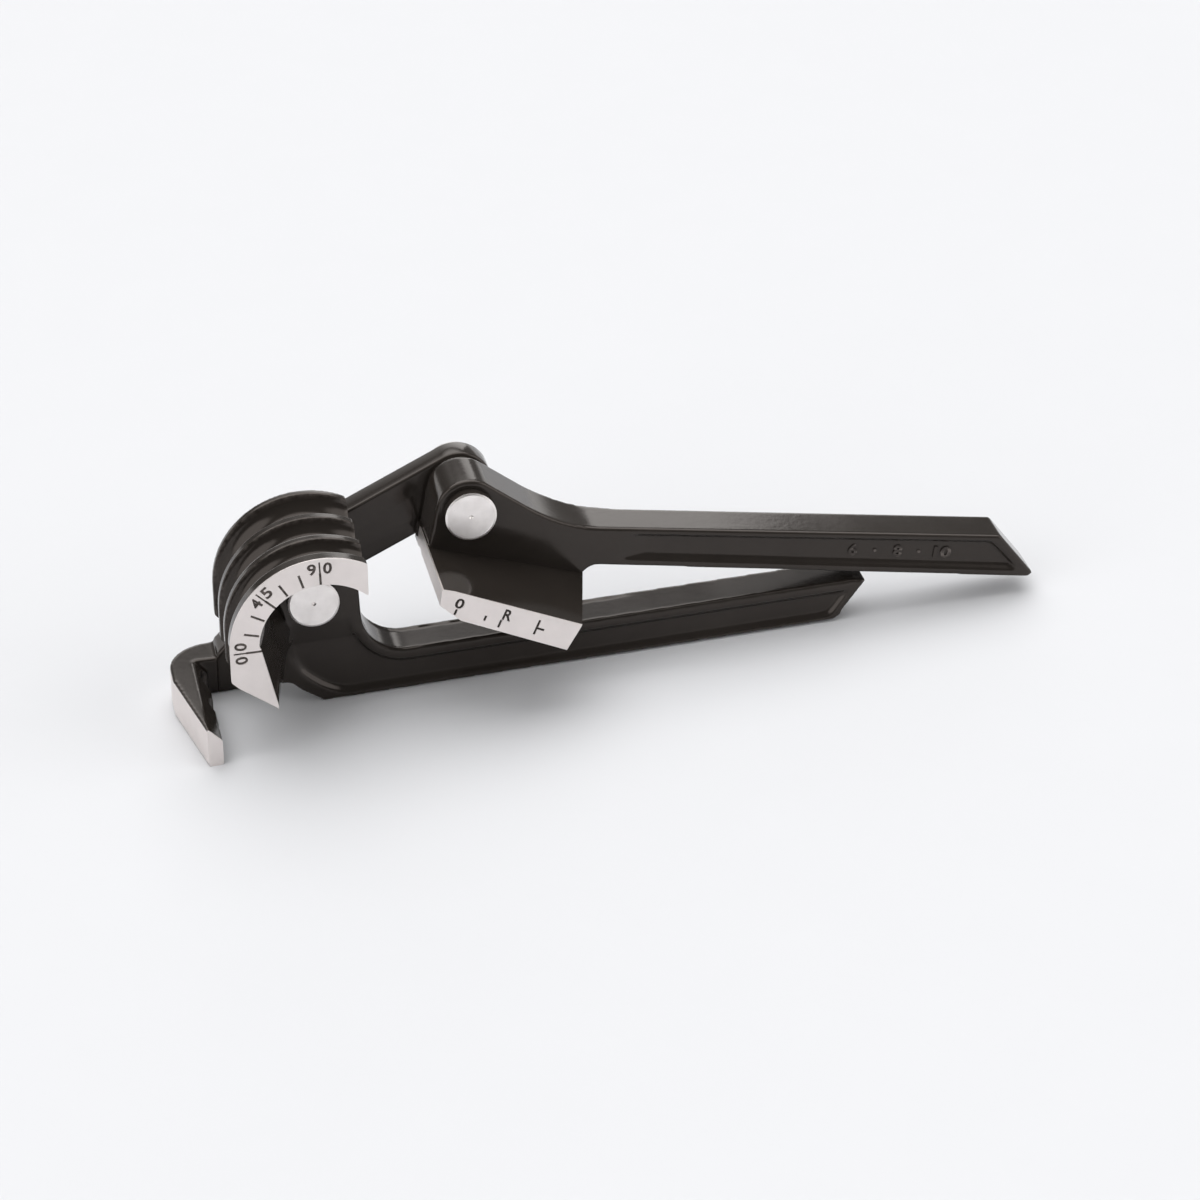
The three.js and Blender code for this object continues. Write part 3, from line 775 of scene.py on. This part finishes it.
def toeSkin():  # room over the milled end of the shoe
    skin, ledge = bareMetal["flankSkin"], shoe["drop"] - shoe["thickness"]
    high = (-shoe["toe"], ledge + shoe["toeDrop"] - 0.2)
    low = (-shoe["toe"] + shoe["leadIn"] / 2, shoe["drop"] - shoe["leadIn"])
    plan = [(high[0] + skin, high[1]), (low[0] + skin, low[1]), (low[0] - 4, low[1]), (high[0] - 4, high[1])]
    return slab(alongShoe(plan), castingBack + 3, scaleFace + 1)


stripMarks = {  # along the shoe and away from its pivot
    "letters": (("0", (-0.8, 13.2), (2.1, 2.6)), ("R", (10.8, 12.8), (2.1, 2.8))),
    "ticks": (((-0.9, 14.7), (-0.9, 16.2)), ((6.1, 14.3), (6.1, 15.6)), ((9.8, 14.3), (9.8, 16.3)),
              ((18.3, 11.8), (18.3, 15.6)), ((18.3, 13.9), (20.2, 13.9))),
}


def shoeMarks():
    low, high = scaleFace - bareMetal["cut"], scaleFace + 1
    half = marks["width"] / 2
    tools = []
    for (x0, y0), (x1, y1) in stripMarks["ticks"]:
        wide, tall = (half, 0) if x0 == x1 else (0, half)
        tools.append(slab(alongShoe([(x0 - wide, y0 - tall), (x1 + wide, y0 - tall), (x1 + wide, y1 + tall),
                                     (x0 - wide, y1 + tall)]), low, high))
    for letter, spot, size in stripMarks["letters"]:
        place = (Matrix.Translation((*alongShoe([spot])[0], 0))
                 @ Matrix.Rotation(math.radians(shoe["tilt"]), 4, "Z"))
        tools.append(lettering(letter, size, place, low, high))
    return tools


raised = {"numbers": (("6", -11.0, 2.2), ("8", 0, 2.2), ("10", 11.0, 4.3)), "at": (103.2, -8.4), "height": 2.9,
          "relief": 0.36, "tilt": -0.6}


def raisedNumbers():  # generic sizes cast on the handle
    floor = bodyFront - upperHandle["panelDepth"]
    low, high = floor - 0.2, floor + raised["relief"]
    line = Matrix.Translation((*raised["at"], 0)) @ Matrix.Rotation(math.radians(raised["tilt"]), 4, "Z")
    solids = [lettering(words, (width, raised["height"]), line @ Matrix.Translation((x, 0, 0)), low, high)
              for words, x, width in raised["numbers"]]
    for x in (-5.6, 5.2):
        solids.append(rod(0.35, low, high, (line @ Vector((x, 0, 0))).xy))
    return combine(solids[0], solids[1:], "UNION")


shoeCasting, block = shoeParts()
combine(shoeCasting, upperPanels(), "DIFFERENCE")
castOver(shoeCasting)
combine(shoeCasting, block, "UNION")  # joined after the casting, so that its corners stay crisp
print("shoe cast", len(shoeCasting.data.polygons))
cutters = [pastFace()] + [shoeGroove(*groove) for groove in grooves]
cutters.append(rod(former["boreRadius"], castingBack - 1, bodyFront + 1))
combine(shoeCasting, cutters, "DIFFERENCE")
shoeStrip = peel(shoeCasting, pastFace(bareMetal["skin"]), "shoeStrip")
shoeToe = peel(shoeCasting, toeSkin(), "shoeToe")
combine(shoeStrip, shoeMarks(), "DIFFERENCE")
sizeNumbers = raisedNumbers()
for obj in (shoeCasting, shoeStrip, shoeToe, sizeNumbers):
    obj.data.transform(shoeMove)
finish(shoeCasting, "shoeCasting", "shoe", blackEnamel, ["shoe_handle"])
finish(shoeStrip, "shoeStrip", "shoe", milledFace)
finish(shoeToe, "shoeToe", "shoe", milledFlank)
finish(sizeNumbers, "sizeNumbers", "shoe", blackEnamel)
print("shoe finished", len(shoeStrip.data.polygons), len(shoeToe.data.polygons))

linkBar = {"radius": 7.8, "waist": 1.7, "edge": 0.7, "bore": 4.1}
linkBack, linkFront = heightsOf("link_plate")


def makeLink():
    radius = linkBar["radius"]
    dip = math.degrees(math.acos(1 - linkBar["waist"] / radius))
    outline = (arc((0, 0), radius, 90, 270 + dip, 40) + arc((pivotSpan, 0), radius, -90 - dip, 90, 40))
    bar = slab(turned(outline, linkAngle), linkBack, linkFront)
    bm = bmesh.new()
    bm.from_mesh(bar.data)
    rims = [e for e in bm.edges if abs(e.verts[0].co.z - e.verts[1].co.z) < 1e-6]
    bmesh.ops.bevel(bm, geom=rims, offset=linkBar["edge"], offset_type="OFFSET", segments=4, profile=0.5,
                    affect="EDGES", clamp_overlap=True, material=-1)
    bm.to_mesh(bar.data)
    bm.free()
    bores = [rod(linkBar["bore"], linkBack - 1, linkFront + 1, spot)
             for spot in ((0, 0), polar(pivotSpan, linkAngle))]
    return combine(bar, bores, "DIFFERENCE")


finish(makeLink(), "linkBar", "link", blackEnamel, ["link_plate"])

pin = {
    "radius": 4.0, "head": 5.85, "headHeight": 2.5, "chamfer": 0.35,
    "neck": 3.4, "ring": (0.75, 2.0),  # the groove for the retaining ring
    "dot": 0.4, "dotDepth": 0.18, "rim": 0.42, "rimDepth": 0.2,  # of the turned face
    "film": 0.15, "bare": 0.25,  # thickness of the paint, and how far under the face it ends
}
washer = {"radius": 7.0, "bore": 4.05, "edge": 0.12}
retainingRing = {"inner": 3.45, "outer": 5.45, "mouth": 35}  # the mouth is half open, in degrees


def revolve(section, closed=False, steps=96):
    bm = bmesh.new()
    verts = [bm.verts.new((x, 0, z)) for x, z in section]
    for a, b in zip(verts, verts[1:] + (verts[:1] if closed else [])):
        bm.edges.new((a, b))
    bmesh.ops.spin(bm, geom=bm.verts[:] + bm.edges[:], cent=(0, 0, 0), axis=(0, 0, 1), dvec=(0, 0, 0),
                   angle=math.radians(360), steps=steps, use_merge=True)
    bmesh.ops.remove_doubles(bm, verts=bm.verts, dist=1e-5)
    return newSolid("turned", bm)


def makePin():
    r, head, c = pin["radius"], pin["head"], pin["chamfer"]
    under, film = pinFront - pin["headHeight"], pin["film"]
    low, high = pin["ring"]
    bare = pinFront - pin["bare"]
    return revolve([
        (0, 0), (r - c, 0), (r, c), (r, low), (pin["neck"], low), (pin["neck"], high), (r, high), (r, under),
        (head - film, under), (head - film, bare), (head, bare), (head, pinFront - pin["rimDepth"]),
        (head - pin["rim"], pinFront), (pin["dot"] + 0.1, pinFront),
        (pin["dot"] - 0.15, pinFront - pin["dotDepth"]), (0, pinFront - pin["dot"]),
    ])


def makePinPaint():  # the side of the head stays painted, only its face is turned bright
    head, under, film = pin["head"], pinFront - pin["headHeight"], pin["film"]
    bare = pinFront - pin["bare"]
    return revolve([(head - film, under), (head - film, bare), (head - 0.04, bare),
                    (head, bare - 0.08), (head, under + 0.15), (head - 0.06, under)], closed=True)


def makeWasher(node):
    low, high = heightsOf(node)
    radius, bore, edge = washer["radius"], washer["bore"], washer["edge"]
    return revolve([(bore, low), (bore, high), (radius - edge, high), (radius, high - edge),
                    (radius, low + edge), (radius - edge, low)], closed=True)


def makeRetainingRing(node):
    low, high = heightsOf(node)
    inner, outer, mouth = retainingRing["inner"], retainingRing["outer"], retainingRing["mouth"]
    outline = arc((0, 0), outer, mouth, 360 - mouth, 60) + arc((0, 0), inner, 360 - mouth, mouth, 60)
    return slab(outline, low, high)


shoeSpot = polar(pivotSpan, linkAngle)
for name, spot in (("former", (0, 0)), ("shoe", shoeSpot)):
    move = Matrix.Translation((*spot, 0)) @ Matrix.Rotation(math.radians(linkAngle), 4, "Z")
    centre = standUp @ Vector((*spot, pinFront))
    pieces = {
        "PivotPin": (makePin(), "turned_steel", makeTurned(name + "PinSteel", centre), name + "_pin"),
        "PinPaint": (makePinPaint(), "black_paint", blackEnamel, None),
        "ThrustWasher": (makeWasher(name + "_thrust_washer"), "plain_steel", plainSteel, name + "_thrust_washer"),
        "RearWasher": (makeWasher(name + "_rear_washer"), "plain_steel", plainSteel, name + "_rear_washer"),
        "RetainingRing": (makeRetainingRing(name + "_retaining_ring"), "spring_steel", springSteel,
                          name + "_retaining_ring"),
    }
    for ending, (obj, slotName, material, node) in pieces.items():
        obj.data.transform(move)
        finish(obj, name + ending, "link", material, [node] if node else (), smoothAngle=20)
print("link and pins finished")

# fitted to the photograph, which is 1200 pixels wide and high
view = {
    "azimuth": 12.164, "elevation": 29.476, "distance": 0.8, "pixels": 1200, "pixelsPerMm": 4.538,
    "pivotAt": (325.359, 642.879),
}
az, el = math.radians(view["azimuth"]), math.radians(view["elevation"])
aim = (Matrix.Rotation(math.radians(lowerTilt), 4, "Y") @ Matrix.Rotation(-az, 4, "Z")
       @ Matrix.Rotation(math.pi / 2 - el, 4, "X"))
right, up, back = (aim.to_3x3() @ Vector(axis) for axis in ((1, 0, 0), (0, 1, 0), (0, 0, 1)))
across = (view["pivotAt"][0] - view["pixels"] / 2) / view["pixelsPerMm"] / 1000
rise = (view["pixels"] / 2 - view["pivotAt"][1]) / view["pixelsPerMm"] / 1000
target = standUp @ Vector((0, 0, scaleFace))
camera = bpy.data.objects.new("camera", bpy.data.cameras.new("camera"))
camera.matrix_world = Matrix.Translation(target + back * view["distance"] - right * across - up * rise) @ aim
camera.data.sensor_width = 36
camera.data.lens = camera.data.sensor_width * view["pixelsPerMm"] * 1000 * view["distance"] / view["pixels"]
camera.data.clip_start, camera.data.clip_end = 0.05, 20
scene.collection.objects.link(camera)
scene.camera = camera

studio = {
    "floor": (0.74, 0.755, 0.784),
    "dim": 0.12,  # walls behind the camera
    # softboxes: towards, half angle in degrees, brightness, softness of the edge
    "overhead": ((0.0, 0.36, 0.93), 37, 2.35, 0.05),
    "left": ((-0.75, -0.45, 0.44), 26, 1.8, 0.04),
    "right": ((0.85, -0.35, 0.40), 27, 1.7, 0.04),
    "sideWall": ((0.9, 0.42, 0.12), 40, 0.14, 0.12),
    # a long low softbox behind the tool: lowest and highest elevation, left and right azimuth, brightness
    "back": (6, 26.6, -5, 23.4, 2.1),
    "backFade": 0.36,  # how softly it dims towards the left
    "sweep": (5, 1.0),  # the white sheet behind: how high it rises, brightness
}


def floorSheet():
    bm = bmesh.new()
    bmesh.ops.create_grid(bm, x_segments=2, y_segments=2, size=6)
    floor = newSolid("floor", bm)
    material, tree, shader = newMaterial("paleFloor")
    grain = addNoise(tree, objectSpot(tree), 40, 4)
    dim = tuple(c * 0.985 for c in studio["floor"])
    link(tree, addMix(tree, grain, studio["floor"], dim), shader.inputs["Base Color"])
    shader.inputs["Roughness"].default_value = 0.8
    shader.inputs["Specular IOR Level"].default_value = 0.1
    floor.data.materials.append(material)


def softEdge(tree, value, edge, softness):  # 0 below the edge, 1 above it
    node = tree.nodes.new("ShaderNodeMapRange")
    node.interpolation_type = "SMOOTHSTEP"
    node.inputs["From Min"].default_value = edge - softness
    node.inputs["From Max"].default_value = edge + softness
    link(tree, value, node.inputs["Value"])
    return node.outputs["Result"]


def along(tree, direction, towards):
    node = tree.nodes.new("ShaderNodeVectorMath")
    node.operation = "DOT_PRODUCT"
    link(tree, direction, node.inputs[0])
    node.inputs[1].default_value = Vector(towards).normalized()
    return node.outputs["Value"]


def studioLight():  # softboxes all round, far enough away to light the floor evenly
    world = bpy.data.worlds.new("studio")
    world.use_nodes = True
    tree = world.node_tree
    direction = tree.nodes.new("ShaderNodeTexCoord").outputs["Generated"]
    boxes = []
    for name in ("overhead", "left", "right", "sideWall"):
        towards, angle, brightness, softness = studio[name]
        inside = softEdge(tree, along(tree, direction, towards), math.cos(math.radians(angle)), softness)
        boxes.append(addMath(tree, "MULTIPLY", inside, brightness))
    low, high, left, right, brightness = studio["back"]
    height = along(tree, direction, (0, 0, 1))
    sunk = addMath(tree, "MULTIPLY", height, -1)
    above = softEdge(tree, height, math.sin(math.radians(low)), 0.05)
    below = softEdge(tree, sunk, -math.sin(math.radians(high)), 0.02)
    sides = []
    for azimuth, side, softness in ((left, 1, studio["backFade"]), (right, -1, 0.008)):
        c, s = polar(1, azimuth)
        sides.append(softEdge(tree, along(tree, direction, (side * c, -side * s, 0)), 0, softness))
    band = addMath(tree, "MULTIPLY", addMath(tree, "MULTIPLY", above, below),
                   addMath(tree, "MULTIPLY", sides[0], sides[1]))
    boxes.append(addMath(tree, "MULTIPLY", band, brightness))
    rise, brightness = studio["sweep"]
    sheet = addMath(tree, "MULTIPLY", softEdge(tree, sunk, -math.sin(math.radians(rise)), 0.05),
                    softEdge(tree, along(tree, direction, (0, 1, 0)), 0, 0.3))
    boxes.append(addMath(tree, "MULTIPLY", sheet, brightness))
    total = studio["dim"]
    for box in boxes:
        total = addMath(tree, "ADD", box, total)
    background = tree.nodes["Background"]
    link(tree, total, background.inputs["Strength"])
    background.inputs["Color"].default_value = (1, 0.985, 0.97, 1)
    scene.world = world


floorSheet()
studioLight()
print("studio ready")
